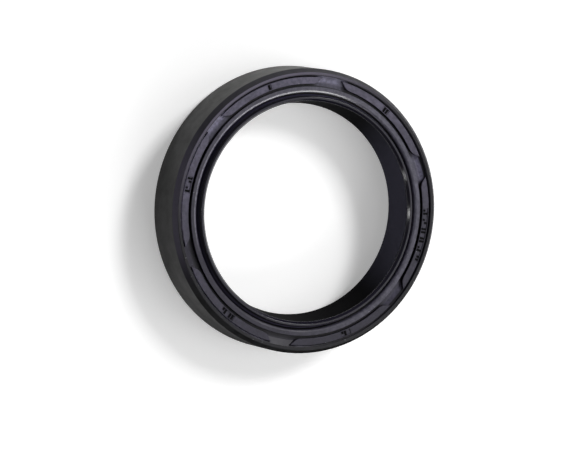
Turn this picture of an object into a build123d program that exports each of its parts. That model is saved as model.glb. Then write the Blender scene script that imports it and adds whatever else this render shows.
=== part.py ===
from build123d import *
from math import cos, radians, sin, tan
import os

# Radial shaft seal, rubber covered, with a main lip, a garter spring and a dust lip.
# Millimetres. The axis is Z. The open oil side lies on Z = 0 and the moulded air side faces +Z.
# Every outline is drawn as radius and height, then turned about the axis.

# Nominal fit: what runs through the seal and how deep the seal is between shaft and housing.
shaft_diameter = 40.0
section_height = 6.0
seal_width = 10.0

# Rubber cover of the case.
cover_wall = 0.95
toe_cover = 0.9
toe_chamfer = 0.3
floor_cover = 0.4
roof_cover = 0.5
back_chamfer = 0.35
front_chamfer_width = 0.7
front_chamfer_height = 1.12
case_edge_round = 0.3
rim_edge_round = 0.12

# Pressed steel ring inside the case, an angle with a long axial leg and a flange.
sheet = 0.8
bend_round = 0.9
flange_cover = 0.5

# Air side face: an outer rim, a channel with raised pads, and an inner land.
rim_land = 0.55
rim_step = 0.2
channel_depth = 0.8
channel_rise = 0.5
channel_flat = 0.9
inner_land = 1.1
land_bevel_width = 0.4
land_bevel_height = 0.17
land_bevel_round = 0.25
face_edge_round = 0.08
pad_count = 6
pad_span = 51.0
pad_inner_gap = 0.5
pad_outer_gap = 0.3
pad_end_run = 1.3
pad_corner_round = 2.0
pad_edge_round = 0.08
pad_root = 0.1

# Shallow windows in the pads, for exchangeable mould inserts: width and shift in degrees, pad by pad.
window_spans = [24.0, 3.3, 2.0, 7.5, 7.3, 5.0]
window_shifts = [-0.3, 0.9, 0.0, -1.4, 1.4, 1.3]
window_border = 0.12
window_depth = 0.16

# Dust lip, which leans towards the shaft and stands a little out of the face.
dust_clearance = 0.1
dust_reach = 0.33
dust_land = 0.35
dust_nose_width = 0.42
dust_nose_height = 0.5
dust_nose_round = 0.15
dust_lean = 18.0
dust_length = 2.2
dust_root_round = 0.8
dust_groove_depth = 1.05
dust_groove_floor = 0.22

# Main lip and the membrane that carries it.
lip_interference = 0.65
lip_height = 3.2
lip_land = 0.3
lip_nose = 1.05
lip_oil_angle = 45.0
membrane_wall = 1.15
membrane_round = 0.9
heel_run = 0.35
heel_round = 0.6

# Garter spring: a close wound coil, here the ring-shaped envelope of its turns.
coil_diameter = 1.9
coil_seat_wall = 1.05
coil_offset = 0.45
coil_clearance = 0.05
coil_wrap = 0.45
coil_guard = 0.65

# Radii that several pieces share.
shaft_r = shaft_diameter / 2
outer_r = shaft_r + section_height
leg_out_r = outer_r - cover_wall
leg_in_r = leg_out_r - sheet
rim_out_r = outer_r - front_chamfer_width
rim_in_r = rim_out_r - rim_land
lip_r = shaft_r - lip_interference
coil_r = coil_diameter / 2
groove_r = coil_r + coil_clearance
coil_ring_r = lip_r + coil_seat_wall + coil_r
groove_ring_r = coil_ring_r + coil_clearance
mouth_r = groove_ring_r + coil_wrap

# Heights that several pieces share.
pad_z = seal_width - rim_step
floor_z = pad_z - channel_depth
flange_top_z = floor_z - floor_cover
flange_low_z = flange_top_z - sheet
roof_z = flange_low_z - roof_cover
lip_top_z = lip_height + lip_land
nose_z = lip_height - lip_nose
coil_z = lip_height + lip_land / 2 + coil_offset

# Dust lip corners, from the shaft outwards.
dust_in_r = shaft_r + dust_clearance
dust_land_r = dust_in_r + dust_nose_width
dust_out_r = dust_land_r + dust_land
dust_top_z = seal_width + dust_reach
dust_nose_z = dust_top_z - dust_nose_height
dust_root_z = dust_top_z - dust_length
dust_root_r = dust_in_r + (dust_nose_z - dust_root_z) * tan(radians(dust_lean))
dust_groove_z = pad_z - dust_groove_depth
dust_groove_r = dust_out_r + (dust_top_z - dust_groove_z) * tan(radians(dust_lean))
land_in_r = dust_groove_r + dust_groove_floor
land_out_r = land_in_r + inner_land

# The pads fill the channel but for a gap on each side.
pad_in_r = land_out_r + pad_inner_gap
pad_out_r = rim_in_r - pad_outer_gap


def rounded_face(corners):
    """Closed outline of (radius, height, rounding) corners.

    A rounding is held to what its two sides leave room for, so that a thin wall keeps its form.
    """
    points = [Vector(r, z) for r, z, rounding in corners]
    radii = []
    for i, (r, z, rounding) in enumerate(corners):
        back = points[i - 1] - points[i]
        ahead = points[(i + 1) % len(points)] - points[i]
        turn = radians(180 - back.get_angle(ahead))
        room = 0.45 * min(back.length, ahead.length) / tan(turn / 2)
        radii.append(min(rounding, room))
    return make_face(FilletPolyline(*points, radius=radii, close=True))


def turned(section):
    """Solid of revolution of a radius and height outline about Z."""
    return revolve(Plane.XZ * section, axis=Axis.Z)


def ring_section():
    """Angle section: the axial leg under the outer cover and the flange behind the face."""
    flange_in_r = land_in_r + flange_cover
    return rounded_face([
        (leg_in_r, toe_cover, 0),
        (leg_out_r, toe_cover, 0),
        (leg_out_r, flange_top_z, bend_round),
        (flange_in_r, flange_top_z, 0),
        (flange_in_r, flange_low_z, 0),
        (leg_in_r, flange_low_z, bend_round - sheet),
    ])


def rubber_section():
    """All the rubber in one outline, less the steel angle and the round seat of the spring."""
    waist_z = (coil_z + groove_r + roof_z) / 2
    cone = (dust_root_r - lip_r) / (dust_root_z - lip_top_z)
    waist_r = lip_r + (waist_z - lip_top_z) * cone + membrane_wall
    nose_r = lip_r + lip_nose * tan(radians(lip_oil_angle))
    guard_z = coil_z - groove_r - coil_guard
    outline = rounded_face([
        (outer_r - back_chamfer, 0, 0),
        (outer_r, back_chamfer, 0),
        (outer_r, seal_width - front_chamfer_height, case_edge_round),
        (rim_out_r, seal_width, rim_edge_round),
        (rim_in_r, seal_width, face_edge_round),
        (rim_in_r, floor_z + channel_rise, 0),
        (land_out_r + channel_flat, floor_z, 0),
        (land_out_r, floor_z, 0),
        (land_out_r, pad_z, face_edge_round),
        (land_in_r + land_bevel_width, pad_z, face_edge_round),
        (land_in_r, pad_z - land_bevel_height, land_bevel_round),
        (land_in_r, dust_groove_z, 0),
        (dust_groove_r, dust_groove_z, 0),
        (dust_out_r, dust_top_z, face_edge_round),
        (dust_land_r, dust_top_z, face_edge_round),
        (dust_in_r, dust_nose_z, dust_nose_round),
        (dust_root_r, dust_root_z, dust_root_round),
        (lip_r, lip_top_z, 0),
        (lip_r, lip_height, 0),
        (nose_r, nose_z, 0),
        (mouth_r, guard_z, 0),
        (mouth_r, coil_z + groove_r, 0),
        (waist_r, waist_z, membrane_round),
        (waist_r + heel_run, roof_z, heel_round),
        (leg_in_r, roof_z, 0),
        (leg_in_r, toe_chamfer, 0),
        (leg_in_r + toe_chamfer, 0, 0),
    ])
    seat = Pos(groove_ring_r, coil_z) * Circle(groove_r)
    return outline - seat - ring_section()


def sector(in_r, out_r, in_span, out_span):
    """Flat sector about the X axis between two radii, with its own angle at each of them."""
    def spot(radius, angle):
        return radius * cos(angle), radius * sin(angle)

    outer = ThreePointArc(spot(out_r, -out_span / 2), spot(out_r, 0), spot(out_r, out_span / 2))
    inner = ThreePointArc(spot(in_r, in_span / 2), spot(in_r, 0), spot(in_r, -in_span / 2))
    return make_face([outer, Line(outer @ 1, inner @ 0), inner, Line(inner @ 1, outer @ 0)])


def pad():
    """One raised pad of the face: slanted ends, large inner corners and a rounded top edge."""
    out_span = radians(pad_span)
    in_span = out_span - 2 * pad_end_run / pad_in_r
    outline = sector(pad_in_r, pad_out_r, in_span, out_span)
    inner_corners = outline.vertices().sort_by(Axis.X)[:2]
    outline = fillet(inner_corners, pad_corner_round)
    block = extrude(Pos(0, 0, floor_z - pad_root) * outline, channel_depth + pad_root)
    return fillet(block.faces().sort_by(Axis.Z)[-1].edges(), pad_edge_round)


def window(span):
    """Shallow recess in a pad's top, as wide as its mould insert and with straight radial ends."""
    angle = radians(span)
    outline = sector(pad_in_r + window_border, pad_out_r - window_border, angle, angle)
    return extrude(Pos(0, 0, pad_z - window_depth) * outline, window_depth)


def seal_body():
    """Moulded rubber: case cover, face, dust lip, membrane and main lip in one piece."""
    body = turned(rubber_section())
    pitch = 360 / pad_count
    for i in range(pad_count):
        body += Rot(Z=i * pitch) * pad()
    for i, (span, shift) in enumerate(zip(window_spans, window_shifts)):
        body -= Rot(Z=i * pitch + shift) * window(span)
    return body


def stiffening_ring():
    """Pressed steel angle that holds the seal tight and round in its housing."""
    return turned(ring_section())


def garter_spring():
    """Envelope of the spring's turns, stretched tight into the seat behind the main lip."""
    return Pos(0, 0, coil_z) * Torus(coil_ring_r, coil_r)


os.makedirs("parts", exist_ok=True)
export_step(seal_body(), "parts/seal_body.step")
export_step(stiffening_ring(), "parts/stiffening_ring.step")
export_step(garter_spring(), "parts/garter_spring.step")
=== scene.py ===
import math
import random
from types import SimpleNamespace

import bmesh
import bpy
from mathutils import Matrix, Quaternion, Vector


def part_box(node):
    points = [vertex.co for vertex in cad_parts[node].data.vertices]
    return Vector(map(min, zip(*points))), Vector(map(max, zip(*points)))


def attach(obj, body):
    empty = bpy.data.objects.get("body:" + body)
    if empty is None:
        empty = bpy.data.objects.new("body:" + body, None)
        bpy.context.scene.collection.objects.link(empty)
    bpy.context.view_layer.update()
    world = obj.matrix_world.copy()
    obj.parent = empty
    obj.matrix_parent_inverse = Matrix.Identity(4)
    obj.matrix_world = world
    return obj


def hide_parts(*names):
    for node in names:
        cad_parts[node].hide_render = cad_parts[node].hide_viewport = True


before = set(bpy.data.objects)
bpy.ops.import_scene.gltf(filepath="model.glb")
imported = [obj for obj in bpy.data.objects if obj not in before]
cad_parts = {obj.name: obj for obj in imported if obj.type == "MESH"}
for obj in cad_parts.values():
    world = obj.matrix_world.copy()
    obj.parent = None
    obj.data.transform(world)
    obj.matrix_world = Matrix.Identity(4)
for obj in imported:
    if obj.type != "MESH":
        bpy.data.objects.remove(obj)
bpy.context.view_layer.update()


# ---- Seal body -----------------------------------------------------------------------------
# One piece of nitrile rubber, moulded round the steel ring and bonded to it in a heated press.
# The mould leaves a turned finish on the air side face, six raised pads in its channel, and a
# smooth skin on the two lips, which are trimmed and left bright.

mm = 0.001
seal_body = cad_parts["seal_body"]
seal_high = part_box("seal_body")[1]

# Radii of the air side face, inwards: the rim, the pads in their channel, the land and the lip.
rim_out_r = seal_high.x - 0.7 * mm
rim_in_r = rim_out_r - 0.55 * mm
pad_out_r = rim_in_r - 0.3 * mm
pad_in_r = pad_out_r - 1.25 * mm
land_out_r = pad_in_r - 0.5 * mm
land_in_r = land_out_r - 1.1 * mm
dust_lip_r = land_in_r - 0.7 * mm

# Heights, down from the tip of the dust lip. The channel floor is flat beside the land and then
# rises towards the rim.
rim_top_z = seal_high.z - 0.33 * mm
pad_top_z = rim_top_z - 0.2 * mm
floor_z = pad_top_z - 0.8 * mm
floor_flat = 0.9 * mm
floor_rise = 0.5 * mm
chamfer_z = rim_top_z - 1.12 * mm
dust_root_z = rim_top_z - 1.9 * mm

pad_count = 6
rubber_ior = 1.52


def linear(hex_colour):
    """An sRGB colour such as "#2A2A2D" as the linear colour that a shader takes."""
    channels = [int(hex_colour[i:i + 2], 16) / 255 for i in (1, 3, 5)]
    return [c / 12.92 if c <= 0.04045 else ((c + 0.055) / 1.055) ** 2.4 for c in channels] + [1.0]


def add_node(tree, kind, sockets=None, **settings):
    """Adds a shader node. Each of sockets is a value, a hex colour, or an output to link to it."""
    node = tree.nodes.new(kind)
    for name, value in settings.items():
        setattr(node, name, value)
    for name, value in (sockets or {}).items():
        if isinstance(value, bpy.types.NodeSocket):
            tree.links.new(value, node.inputs[name])
        else:
            node.inputs[name].default_value = linear(value) if isinstance(value, str) else value
    return node


def new_material(name):
    """A material with an empty shader tree: the material and the tree."""
    material = bpy.data.materials.new(name)
    material.use_nodes = True
    material.node_tree.nodes.clear()
    return material, material.node_tree


# The next few work on outputs, whose id_data is the tree that they stand in.

def zone(*edges, share=1.0, but_not=None):
    """A factor for where a finish lies: share, which may be a zone too, within all the edges.

    Each edge is a measure and two values of it. The zone starts at the first of them and is full
    at the second, so it lies inside or below an edge whose second value is the smaller one.
    Another zone can be kept out of it.
    """
    tree = edges[0][0].id_data
    for measure, start, full in edges:
        edge = add_node(tree, "ShaderNodeMapRange", {
            "Value": measure, "From Min": start, "From Max": full},
            interpolation_type="SMOOTHSTEP").outputs[0]
        share = add_node(tree, "ShaderNodeMath", {0: share, 1: edge},
                         operation="MULTIPLY").outputs[0]
    if but_not:
        share = add_node(tree, "ShaderNodeMath", {0: share, 1: but_not},
                         operation="SUBTRACT", use_clamp=True).outputs[0]
    return share


def any_of(first, *others):
    """The factor for where any of some zones lies."""
    for other in others:
        first = add_node(first.id_data, "ShaderNodeMath", {0: first, 1: other},
                         operation="MAXIMUM").outputs[0]
    return first


def coated(colour, *coats):
    """A colour under coats of others. Each coat is the zone where it lies, and its colour."""
    for cover, coat in coats:
        colour = add_node(cover.id_data, "ShaderNodeMix", {0: cover, 6: colour, 7: coat},
                          data_type="RGBA").outputs[2]
    return colour


def bumps(place, size, depth, strength, **under):
    """The normal of small bumps of a size and depth, on another normal if one is given."""
    tree = place.id_data
    height = add_node(tree, "ShaderNodeTexNoise", {
        "Vector": place, "Scale": 1 / size, "Detail": 2.0, "Roughness": 0.55}).outputs["Fac"]
    return add_node(tree, "ShaderNodeBump", {
        "Height": height, "Strength": strength, "Distance": depth, **under}).outputs["Normal"]


def whereabouts(tree):
    """Measures of where a point of the seal is: its place, radius, height and angle."""
    place = add_node(tree, "ShaderNodeTexCoord").outputs["Object"]
    x, y, z = add_node(tree, "ShaderNodeSeparateXYZ", {0: place}).outputs
    level_place = add_node(tree, "ShaderNodeCombineXYZ", {0: x, 1: y}).outputs[0]
    radius = add_node(tree, "ShaderNodeVectorMath", {0: level_place},
                      operation="LENGTH").outputs["Value"]
    angle = add_node(tree, "ShaderNodeMath", {0: y, 1: x}, operation="ARCTAN2").outputs[0]
    return SimpleNamespace(tree=tree, place=place, radius=radius, height=z, angle=angle)


def toward(at, bearing, start, full):
    """A zone's edge across the seal, on the side of a bearing in degrees."""
    way = (math.cos(math.radians(bearing)), math.sin(math.radians(bearing)), 0.0)
    reach = add_node(at.tree, "ShaderNodeVectorMath", {0: at.place, 1: way},
                     operation="DOT_PRODUCT").outputs["Value"]
    return reach, start, full


def pad_gaps(at):
    """The gaps between the pads: a pad sits on each sixth of a turn, and a gap halfway."""
    pitches = add_node(at.tree, "ShaderNodeMath", {0: at.angle, 1: pad_count / math.tau},
                       operation="MULTIPLY").outputs[0]
    past_pad = add_node(at.tree, "ShaderNodeMath", {0: pitches}, operation="FRACT").outputs[0]
    past_gap = add_node(at.tree, "ShaderNodeMath", {0: past_pad, 1: 0.5},
                        operation="SUBTRACT").outputs[0]
    off_gap = add_node(at.tree, "ShaderNodeMath", {0: past_gap}, operation="ABSOLUTE").outputs[0]

    # The pads' slanted ends run between about these shares of a pitch from the gap's middle.
    pad_end, pad_foot = 0.14, 0.09
    return zone((off_gap, pad_end, pad_foot),
                (at.radius, land_out_r + 0.05 * mm, land_out_r + 0.25 * mm))


def open_floor(at, gaps):
    """The channel floor in the gaps, but not the rim's foot on one side, which keeps the dark
    recess colour there as a painted shadow of the rim.
    """
    floor_height = add_node(at.tree, "ShaderNodeMapRange", {
        "Value": at.radius, "From Min": land_out_r + floor_flat, "From Max": rim_in_r,
        "To Min": floor_z, "To Max": floor_z + floor_rise}).outputs[0]
    above_floor = add_node(at.tree, "ShaderNodeMath", {0: at.height, 1: floor_height},
                           operation="SUBTRACT").outputs[0]
    # Painted shadow: on one side the rim's foot is left out of the floor's colour, so it stays
    # dark.
    painted_rim_shadow = zone((at.radius, pad_out_r - 0.25 * mm, pad_out_r),
                    toward(at, 0, 14 * mm, 20 * mm))
    return zone((above_floor, 0.12 * mm, 0.04 * mm), share=gaps, but_not=painted_rim_shadow)


def outer_step_painted_light(at, gaps):
    """The narrow step between the pads and the rim, on one side, which is painted paler as light
    that lifts its shade.
    """
    return zone(toward(at, 215, 5 * mm, 14 * mm),
                (at.radius, pad_out_r - 0.09 * mm, pad_out_r - 0.01 * mm),
                (at.radius, rim_in_r + 0.15 * mm, rim_in_r - 0.05 * mm), but_not=gaps)


def land_bloom_and_light(at):
    """Bloom on the land, with painted light: paler towards one side, a little paler on two more,
    and a painted highlight along its inner edge on one side.
    """
    # Painted light: the land is paler towards one side.
    painted_light_side = zone(toward(at, 45, -24 * mm, 24 * mm))
    # Painted light: a little paler still on two more sides.
    paler = any_of(zone(toward(at, 318, 15 * mm, 22 * mm), share=0.17),
                   zone(toward(at, 162, 15 * mm, 22 * mm), share=0.085))
    # Painted highlight along the land's inner edge, on one side.
    painted_edge_highlight = zone(toward(at, 160, 13 * mm, 20 * mm),
                  (at.radius, land_in_r + 0.14 * mm, land_in_r + 0.22 * mm),
                  (at.radius, land_in_r + 0.52 * mm, land_in_r + 0.42 * mm))
    return coated("#34313E", (painted_light_side, "#5F5D6B"), (paler, "#6F6C7A"), (painted_edge_highlight, "#7E7B8A"))


def floor_bloom_and_light(at):
    """Bloom on the channel floor, with painted light and shade: paler towards one side, a painted
    highlight where it rises on that side, and painted shade beside the land.
    """
    # Painted light: the floor is paler towards one side.
    painted_light_side = zone(toward(at, 75, -20 * mm, 12 * mm))
    # Painted highlight where the floor rises towards the rim, on one side.
    painted_slope_highlight = zone(toward(at, 90, 5 * mm, 24 * mm),
                 (at.radius, pad_in_r + 0.2 * mm, pad_in_r + 0.7 * mm))
    # Painted shade beside the land's wall.
    painted_shade_beside_land = zone((at.radius, pad_in_r + 0.5 * mm, pad_in_r + 0.1 * mm), share=0.45)
    return coated("#282531", (painted_light_side, "#6E6B80"), (painted_slope_highlight, "#9390A8"), (painted_shade_beside_land, "#121018"))


def bloomed_and_lit_face(at):
    """The colour of the air side face.

    Bloom lies on the land, the pads and the open floor, and is paler towards one side there as
    painted light. On the land's inner wall and in the outer step it is painted light that lifts
    their shade. It is specked where it has worn through, and thin in wide patches. The walls of
    the pads and the rest of the recesses keep a dark colour as painted shade, and the groove
    beside the dust lip is lifted by painted light.
    """
    speck = 0.6 * mm
    thin_patch = 5.0 * mm
    speck_noise = add_node(at.tree, "ShaderNodeTexNoise", {
        "Vector": at.place, "Scale": 1 / speck, "Detail": 4.0, "Roughness": 0.55}).outputs["Fac"]
    patch_noise = add_node(at.tree, "ShaderNodeTexNoise", {
        "Vector": at.place, "Scale": 1 / thin_patch, "Detail": 3.0,
        "Roughness": 0.55}).outputs["Fac"]

    gaps = pad_gaps(at)
    floor = open_floor(at, gaps)
    step = outer_step_painted_light(at, gaps)
    channel = zone((at.radius, land_out_r - 0.1 * mm, land_out_r + 0.6 * mm))
    # The pads' bloom is paler towards one side: painted light.
    pad_bloom_and_light = coated("#302D3B", (zone(toward(at, 120, -26 * mm, 26 * mm)), "#5F5B6E"))
    # Painted light: the outer step is lifted paler, most towards one side, where it lies in shade.
    step_painted_light = coated("#6A6878", (zone(toward(at, 165, 10 * mm, 22 * mm)), "#A5A2B2"))
    bloom = coated(land_bloom_and_light(at), (channel, pad_bloom_and_light), (floor, floor_bloom_and_light(at)),
                   (step, step_painted_light),
                   (zone((speck_noise, 0.35, 0.65), share=0.4), "#201F26"),
                   (zone((patch_noise, 0.25, 0.75), share=0.3), "#201F26"))

    groove = zone((at.radius, land_in_r + 0.2 * mm, land_in_r))
    # Painted light lifts the shaded groove beside the dust lip, less towards one side.
    groove_painted_light = coated("#504C62", (zone(toward(at, 130, -6 * mm, 20 * mm)), "#38354A"))
    # Painted shade: colour goes only on raised parts, the open floor, the land's wall and the
    # step, so the pad walls and other recesses stay dark. On the land's wall it is painted light.
    raised = zone((at.height, pad_top_z - 0.26 * mm, pad_top_z - 0.18 * mm))
    land_wall = zone((at.radius, land_in_r - 0.15 * mm, land_in_r - 0.05 * mm),
                     (at.radius, land_in_r + 0.3 * mm, land_in_r + 0.15 * mm))
    return coated("#121018", (groove, groove_painted_light), (any_of(raised, floor, land_wall, step), bloom))


def within_rim_colour(at):
    """The colour of all within the rim's outer edge: lip's outside, face, rim with painted light
    on its top, and talc.
    """
    face = zone((at.height, floor_z - 0.2 * mm, floor_z),
                (at.radius, dust_lip_r, dust_lip_r + 0.3 * mm),
                (at.radius, rim_in_r + 0.15 * mm, rim_in_r - 0.05 * mm))
    rim_top = zone((at.height, rim_top_z - 0.07 * mm, rim_top_z - 0.03 * mm),
                   (at.radius, rim_in_r - 0.05 * mm, rim_in_r))
    # Painted light: the rim's top is paler towards one side, and its inner edge is kept dark there
    # so that the light reads as a line.
    rim_inner_edge_dark = zone(toward(at, 105, 8 * mm, 18 * mm),
                    (at.radius, rim_in_r + 0.2 * mm, rim_in_r + 0.12 * mm), share=0.7)
    rim_painted_light = coated("#131218", (zone(toward(at, 125, 6 * mm, 28 * mm)), "#5A5565"),
                       (rim_inner_edge_dark, "#131218"))

    # One cell in five holds a grain of talc, drawn at 0.15 mm, coarser than real so it shows.
    talc_spacing = 0.9 * mm
    cells = add_node(at.tree, "ShaderNodeTexVoronoi", {
        "Vector": at.place, "Scale": 1 / talc_spacing, "Randomness": 1.0}).outputs
    chance = add_node(at.tree, "ShaderNodeSeparateColor", {0: cells["Color"]}).outputs[0]
    talc = zone((cells["Distance"], 0.10, 0.06), (chance, 0.80, 0.82))
    return coated("#131312", (face, bloomed_and_lit_face(at)), (rim_top, rim_painted_light), (talc, "#8C8B92"))


def air_side(at, roughness, grain, relief):
    """The face with its turned finish. One side of the land's edge came off polished steel."""
    colour = within_rim_colour(at)
    turned = add_node(at.tree, "ShaderNodeBsdfPrincipled", {
        "Base Color": colour, "Roughness": roughness, "IOR": rubber_ior,
        "Specular IOR Level": 0.28, "Normal": relief}).outputs[0]
    polished = add_node(at.tree, "ShaderNodeBsdfPrincipled", {
        "Base Color": colour, "Roughness": 0.14, "IOR": rubber_ior,
        "Specular IOR Level": 0.9, "Normal": grain}).outputs[0]
    land_edge = zone(toward(at, 130, 2 * mm, 9 * mm),
                     (at.radius, land_in_r + 0.55 * mm, land_in_r + 0.4 * mm),
                     (at.height, pad_top_z - 0.4 * mm, pad_top_z - 0.25 * mm))
    return add_node(at.tree, "ShaderNodeMixShader", {
        0: land_edge, 1: turned, 2: polished}).outputs[0]


def case_cover(at, roughness, relief):
    """The bare outside, smeared by handling. It is satin, paler on its top side as painted light.
    On one side a copy with almost no gloss stands as painted shade, with its chamfer darker still
    towards one side. Its chamfer keeps some bloom, paler towards another side as painted light."""
    handling = 4.0 * mm
    smear_noise = add_node(at.tree, "ShaderNodeTexNoise", {
        "Vector": at.place, "Scale": 1 / handling, "Detail": 4.0,
        "Roughness": 0.55}).outputs["Fac"]
    smears = zone((smear_noise, 0.35, 0.65))
    chamfer = (at.height, chamfer_z - 0.08 * mm, chamfer_z + 0.07 * mm)
    # Painted light: the chamfer's bloom is paler towards one side.
    chamfer_bloom_and_light = coated("#211E2C", (zone(toward(at, 195, 19 * mm, 25 * mm)), "#4A4558"))
    # Painted light: the outside is lifted paler towards its top side.
    satin_black_and_light = coated("#0B0C0B", (smears, "#1C1B1C"),
                         (zone(toward(at, 98, 14 * mm, 27 * mm)), "#343432"),
                         (zone(chamfer, share=0.6), chamfer_bloom_and_light))
    # Painted shade: the shaded copy's chamfer is darker towards one side.
    shaded_side_black = coated("#161617", (smears, "#29292A"),
                        (zone(chamfer, toward(at, 312, 18 * mm, 24 * mm)), "#0B0B0C"))
    satin = add_node(at.tree, "ShaderNodeBsdfPrincipled", {
        "Base Color": satin_black_and_light, "Roughness": roughness, "IOR": rubber_ior,
        "Specular IOR Level": 0.18, "Normal": relief}).outputs[0]
    dull = add_node(at.tree, "ShaderNodeBsdfPrincipled", {
        "Base Color": shaded_side_black, "Roughness": 0.7, "IOR": rubber_ior,
        "Specular IOR Level": 0.02, "Normal": relief}).outputs[0]
    # Painted shade: on one side a copy with almost no gloss makes it darker.
    painted_shade_side = any_of(zone(toward(at, 285, 12 * mm, 26 * mm)),
                       zone(chamfer, toward(at, 280, 4 * mm, 16 * mm)))
    return add_node(at.tree, "ShaderNodeMixShader", {
        0: painted_shade_side, 1: satin, 2: dull}).outputs[0]


def lips(at, grain, relief):
    """The dust lip keeps the gloss of polished steel. The flank under it came off a fine blasted
    pin, whose grain shades itself."""
    # Painted sheen: the flank is paler towards one side.
    flank_black_and_sheen = coated("#0A0A0C", (zone(toward(at, 14, 12 * mm, 20 * mm)), "#4A4956"))
    blasted = add_node(at.tree, "ShaderNodeBsdfPrincipled", {
        "Base Color": flank_black_and_sheen, "Roughness": 0.5, "IOR": rubber_ior,
        "Specular IOR Level": 0.01, "Normal": relief}).outputs[0]
    polished = add_node(at.tree, "ShaderNodeBsdfPrincipled", {
        "Base Color": "#1C1A26", "Roughness": 0.13, "IOR": rubber_ior,
        "Specular IOR Level": 0.38, "Normal": grain}).outputs[0]
    dust_lip = zone((at.height, dust_root_z, dust_root_z + 0.4 * mm))
    return add_node(at.tree, "ShaderNodeMixShader", {
        0: dust_lip, 1: blasted, 2: polished}).outputs[0]


def moulded_nitrile_rubber():
    """Black nitrile rubber, press moulded.

    To the eye it is a neutral black satin outside, and a face greyed by a thin bluish bloom of
    wax, which is uneven. Face, rim, outside and flank are painted paler or darker towards one side
    or another, as light and shade. The lips and the land's inner edge are glossy.
    """
    material, tree = new_material("moulded_nitrile_rubber")
    at = whereabouts(tree)

    # The mould's grain is drawn at 0.12 mm, coarser than real so it shows. All but the polished
    # parts have shrunk in faint ripples too, and flow marks vary the sheen.
    mould_grain = 0.12 * mm
    ripple = 0.6 * mm
    flow_mark = 2.5 * mm
    grain = bumps(at.place, mould_grain, 0.01 * mm, 0.25)
    relief = bumps(at.place, ripple, 0.03 * mm, 0.5, Normal=grain)
    flow_noise = add_node(tree, "ShaderNodeTexNoise", {
        "Vector": at.place, "Scale": 1 / flow_mark, "Detail": 4.0,
        "Roughness": 0.55}).outputs["Fac"]
    roughness = add_node(tree, "ShaderNodeMapRange", {
        "Value": flow_noise, "From Min": 0.3, "From Max": 0.7,
        "To Min": 0.44, "To Max": 0.54}).outputs[0]

    within_rim = zone((at.height, chamfer_z - 0.03 * mm, chamfer_z + 0.07 * mm),
                      (at.radius, rim_out_r + 0.08 * mm, rim_out_r))
    bore = zone((at.radius, dust_lip_r + 0.1 * mm, dust_lip_r))
    outer_parts = add_node(tree, "ShaderNodeMixShader", {
        0: within_rim, 1: case_cover(at, roughness, relief),
        2: air_side(at, roughness, grain, relief)}).outputs[0]
    rubber = add_node(tree, "ShaderNodeMixShader", {
        0: bore, 1: outer_parts, 2: lips(at, grain, relief)}).outputs[0]
    add_node(tree, "ShaderNodeOutputMaterial", {"Surface": rubber})
    return material


seal_body.data.materials[0] = moulded_nitrile_rubber()


# ---- Moulded marks -------------------------------------------------------------------------
# Exchangeable inserts in the mould leave a shallow window in each pad, with raised marks in it.
# The marks are plain upright bars here, of the same rubber, and stand just short of the pad top.

mark_top_z = pad_top_z - 0.03 * mm
mark_foot_z = pad_top_z - 0.18 * mm
mark_in_r = pad_in_r + 0.17 * mm
mark_out_r = pad_out_r - 0.17 * mm
mark_middle_r = (mark_in_r + mark_out_r) / 2
bar_width = 0.36 * mm
bar_pitch = 0.58 * mm
bar_edge = 0.02 * mm

# A bar runs over the whole row or over its outer or inner half. Whole ones are the commonest.
bar_reaches = ((mark_in_r, mark_out_r), (mark_in_r, mark_out_r), (mark_middle_r, mark_out_r),
               (mark_in_r, mark_middle_r))

# Bearing in degrees and length in pitches of each row, pad by pad. Every third pitch is a space.
mark_rows = [(-0.3, 17), (60.9, 2), (120.0, 1), (178.6, 5), (241.4, 5), (301.3, 3)]


def bar(mesh, bearing, in_r, out_r):
    """One upright bar: a block between two radii, narrow across."""
    half = bar_width / 2
    corners = []
    for height in (mark_foot_z, mark_top_z):
        for reach, side in ((in_r, -half), (out_r, -half), (out_r, half), (in_r, half)):
            corners.append(mesh.verts.new((
                reach * math.cos(bearing) - side * math.sin(bearing),
                reach * math.sin(bearing) + side * math.cos(bearing), height)))
    low, top = corners[:4], corners[4:]
    mesh.faces.new(low[::-1])
    mesh.faces.new(top)
    for i in range(4):
        mesh.faces.new((low[i], low[(i + 1) % 4], top[(i + 1) % 4], top[i]))


def mark_rubber_painted_dark():
    """The same rubber, matt and darker than the face: painted shade, so that the marks show as
    dark strokes.
    """
    material, tree = new_material("mark_rubber_painted_dark")
    place = add_node(tree, "ShaderNodeTexCoord").outputs["Object"]

    # The mould's grain, drawn coarser than real so it shows.
    mould_grain = 0.1 * mm
    grain_noise = add_node(tree, "ShaderNodeTexNoise", {
        "Vector": place, "Scale": 1 / mould_grain, "Detail": 3.0,
        "Roughness": 0.55}).outputs["Fac"]
    rubber = add_node(tree, "ShaderNodeBsdfPrincipled", {
        "Base Color": coated("#050506", (grain_noise, "#0B0B0D")), "Roughness": 0.6,
        "IOR": rubber_ior, "Specular IOR Level": 0.04,
        "Normal": bumps(place, mould_grain, 0.01 * mm, 0.3)})
    add_node(tree, "ShaderNodeOutputMaterial", {"Surface": rubber.outputs[0]})
    return material


dice = random.Random(5)
marks = bmesh.new()
for middle, pitches in mark_rows:
    for i in range(pitches):
        if i % 3 == 2:
            continue
        offset = (i - (pitches - 1) / 2) * bar_pitch / mark_out_r
        bar(marks, math.radians(middle) + offset, *dice.choice(bar_reaches))
mark_mesh = bpy.data.meshes.new("mark_bars")
marks.to_mesh(mark_mesh)
marks.free()
mark_mesh.materials.append(mark_rubber_painted_dark())
mark_bars = bpy.data.objects.new("mark_bars", mark_mesh)
bpy.context.scene.collection.objects.link(mark_bars)
edge = mark_bars.modifiers.new("edge", "BEVEL")
edge.width = bar_edge
edge.segments = 2
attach(mark_bars, "root")


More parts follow.
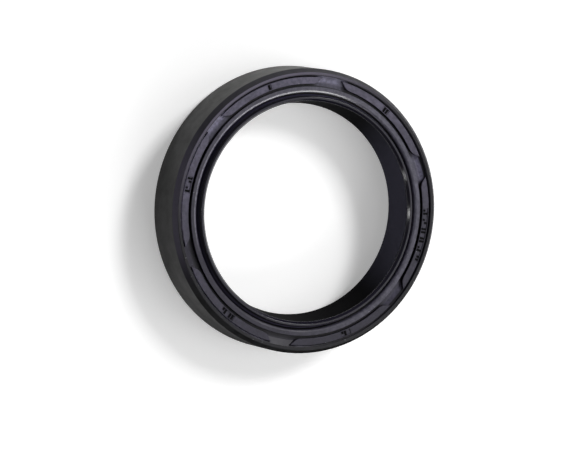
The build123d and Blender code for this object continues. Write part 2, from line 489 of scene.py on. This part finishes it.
# ---- Stiffening ring -----------------------------------------------------------------------
# An angle ring deep drawn from steel strip. It is phosphated so that the rubber bonds to it,
# and only the inside of its leg stays bare, in the open cavity on the oil side.

stiffening_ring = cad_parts["stiffening_ring"]


def phosphated_drawn_steel():
    """Zinc phosphate on drawn steel: a dull grey coat of fine crystals that scatters the light."""
    material, tree = new_material("phosphated_drawn_steel")
    place = add_node(tree, "ShaderNodeTexCoord").outputs["Object"]

    # Real crystals are some hundredths of a millimetre. These are coarser, so that they show.
    crystal = 0.15 * mm
    crystals = add_node(tree, "ShaderNodeTexVoronoi", {
        "Vector": place, "Scale": 1 / crystal, "Randomness": 1.0}).outputs["Distance"]
    relief = add_node(tree, "ShaderNodeBump", {
        "Height": crystals, "Strength": 0.3, "Distance": 0.01 * mm}).outputs["Normal"]
    steel = add_node(tree, "ShaderNodeBsdfPrincipled", {
        "Base Color": coated("#4A4A4C", (crystals, "#6A6966")), "Metallic": 0.8,
        "Roughness": 0.5, "Normal": relief})
    add_node(tree, "ShaderNodeOutputMaterial", {"Surface": steel.outputs[0]})
    return material


stiffening_ring.data.materials[0] = phosphated_drawn_steel()


# ---- Garter spring -------------------------------------------------------------------------
# A long coil of hard drawn spring wire, wound close and joined end to end into a ring. It is
# stretched over the back of the main lip and stays there by its own pull.

spring_low, spring_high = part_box("garter_spring")
coil_r = (spring_high.z - spring_low.z) / 2
coil_ring_r = spring_high.x - coil_r
coil_z = (spring_high.z + spring_low.z) / 2
wire_r = 0.2 * mm


def wound_coil(steps_a_turn=14, sides=7):
    """The wire's surface, swept along the coil's turns right round the ring."""
    turn_r = coil_r - wire_r

    # The turns just touch a little inside the ring's middle line, and open outside it.
    touching_r = coil_ring_r - turn_r * 0.25
    turns = int(math.tau * touching_r / (2 * wire_r))
    steps = turns * steps_a_turn

    def wire_centre(step):
        turn, round_ring = math.tau * step / steps_a_turn, math.tau * step / steps
        reach = coil_ring_r + turn_r * math.cos(turn)
        return Vector((reach * math.cos(round_ring), reach * math.sin(round_ring),
                       coil_z + turn_r * math.sin(turn)))

    points, faces = [], []
    for step in range(steps):
        round_ring = math.tau * step / steps
        centre = wire_centre(step)
        ring_centre = Vector((coil_ring_r * math.cos(round_ring),
                              coil_ring_r * math.sin(round_ring), coil_z))
        along = (wire_centre(step + 1) - wire_centre(step - 1)).normalized()
        across = along.cross(centre - ring_centre).normalized()
        outward = across.cross(along)
        for side in range(sides):
            angle = math.tau * side / sides
            points.append(centre + wire_r * (math.cos(angle) * outward + math.sin(angle) * across))
    for step in range(steps):
        here, ahead = step * sides, (step + 1) % steps * sides
        for side in range(sides):
            beside = (side + 1) % sides
            faces.append((here + side, here + beside, ahead + beside, ahead + side))
    mesh = bpy.data.meshes.new("garter_coil")
    mesh.from_pydata(points, [], faces)
    mesh.polygons.foreach_set("use_smooth", [True] * len(faces))
    return mesh


def drawn_spring_wire():
    """Hard drawn steel wire under a thin film of oil: bright, and a little duller in spots."""
    material, tree = new_material("drawn_spring_wire")
    place = add_node(tree, "ShaderNodeTexCoord").outputs["Object"]
    oil_spot = 1.5 * mm
    oil = add_node(tree, "ShaderNodeTexNoise", {
        "Vector": place, "Scale": 1 / oil_spot, "Detail": 3.0}).outputs["Fac"]
    roughness = add_node(tree, "ShaderNodeMapRange", {
        "Value": oil, "From Min": 0.3, "From Max": 0.7,
        "To Min": 0.22, "To Max": 0.36}).outputs[0]
    steel = add_node(tree, "ShaderNodeBsdfPrincipled", {
        "Base Color": coated("#B4AFA6", (oil, "#D2CEC6")), "Metallic": 1.0,
        "Roughness": roughness})
    add_node(tree, "ShaderNodeOutputMaterial", {"Surface": steel.outputs[0]})
    return material


garter_coil = bpy.data.objects.new("garter_coil", wound_coil())
bpy.context.scene.collection.objects.link(garter_coil)
garter_coil.data.materials.append(drawn_spring_wire())
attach(garter_coil, "root")
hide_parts("garter_spring")


# ---- Studio --------------------------------------------------------------------------------
# A matt white table that the seal lies on, and a white surround. Large soft lamps stand high on
# one side, and two small ones low on the other, which put glints on the outside.

table_half = 1.5


def matt_white_laminate():
    """Matt white laminate. A glow that lights nothing lifts it to full white for the eye and in
    reflections, and it still takes the seal's shadow."""
    material, tree = new_material("matt_white_laminate")
    matt = add_node(tree, "ShaderNodeBsdfDiffuse", {"Color": "#F2F2F2"}).outputs[0]
    ray = add_node(tree, "ShaderNodeLightPath").outputs
    seen = any_of(ray["Is Camera Ray"], ray["Is Glossy Ray"], ray["Is Transmission Ray"])
    glow_strength = 0.33
    lift = add_node(tree, "ShaderNodeMath", {0: seen, 1: glow_strength},
                    operation="MULTIPLY").outputs[0]
    glow = add_node(tree, "ShaderNodeEmission", {"Strength": lift}).outputs[0]
    both = add_node(tree, "ShaderNodeAddShader", {0: matt, 1: glow}).outputs[0]
    add_node(tree, "ShaderNodeOutputMaterial", {"Surface": both})
    return material


table_mesh = bpy.data.meshes.new("table")
table_corners = [(-table_half, -table_half, 0), (table_half, -table_half, 0),
                 (table_half, table_half, 0), (-table_half, table_half, 0)]
table_mesh.from_pydata(table_corners, [], [(0, 1, 2, 3)])
table_mesh.materials.append(matt_white_laminate())
table = bpy.data.objects.new("table", table_mesh)
bpy.context.scene.collection.objects.link(table)

# The camera looks down on the air side face, a little from the left and rolled.
view_tilt = math.radians(23.99)
view_roll = math.radians(11.2)
view_distance = 952.4 * mm
aim_right = -2.75 * mm
aim_up = -2.74 * mm
frame_width_px = 583
lens_px = 5246

forward = Vector((math.sin(view_tilt), 0, -math.cos(view_tilt)))
right = Vector((math.cos(view_tilt) * math.cos(view_roll), math.sin(view_roll),
                math.sin(view_tilt) * math.cos(view_roll)))
up = right.cross(forward)
camera_data = bpy.data.cameras.new("camera")
camera_data.lens = lens_px / frame_width_px * camera_data.sensor_width
camera_data.clip_start = 0.01
camera_data.clip_end = 20.0
camera = bpy.data.objects.new("camera", camera_data)
camera.matrix_world = Matrix((right, up, -forward)).transposed().to_4x4()
camera.location = (Vector((0, 0, pad_top_z)) - view_distance * forward
                   + aim_right * right + aim_up * up)
bpy.context.scene.collection.objects.link(camera)
bpy.context.scene.camera = camera


def soft_lamp(name, azimuth, elevation, watts, width, height=None, distance=0.45, tilt=0):
    """A soft lamp that faces the seal. Azimuth turns from +X towards +Y, all in degrees."""
    data = bpy.data.lights.new(name, "AREA")
    data.shape = "RECTANGLE"
    data.size = width
    data.size_y = height or width
    data.energy = watts
    lamp = bpy.data.objects.new(name, data)
    turn, rise = math.radians(azimuth), math.radians(elevation)
    lamp.location = distance * Vector((
        math.cos(turn) * math.cos(rise), math.sin(turn) * math.cos(rise), math.sin(rise)))
    lamp.rotation_mode = "QUATERNION"
    lamp.rotation_quaternion = (lamp.location.to_track_quat("Z", "Y")
                                @ Quaternion((0, 0, 1), math.radians(tilt)))
    bpy.context.scene.collection.objects.link(lamp)


soft_lamp("key", azimuth=54, elevation=46, watts=5.10, width=0.24, distance=0.9)
soft_lamp("side", azimuth=4, elevation=48, watts=1.30, width=0.44, distance=0.9)
soft_lamp("top", azimuth=0, elevation=74, watts=0.70, width=0.44, distance=0.9)
soft_lamp("edge_strip", azimuth=331, elevation=35, watts=0.70, width=0.54, height=0.07, tilt=-26)
soft_lamp("left_window", azimuth=193, elevation=14, watts=0.12, width=0.04)
soft_lamp("far_window", azimuth=221, elevation=12, watts=0.05, width=0.04)

world = bpy.data.worlds.new("studio")
bpy.context.scene.world = world
world.use_nodes = True
surround = world.node_tree.nodes["Background"].inputs
surround["Color"].default_value = linear("#FFFFFF")
surround["Strength"].default_value = 0.1

bpy.context.scene.view_settings.view_transform = "Standard"
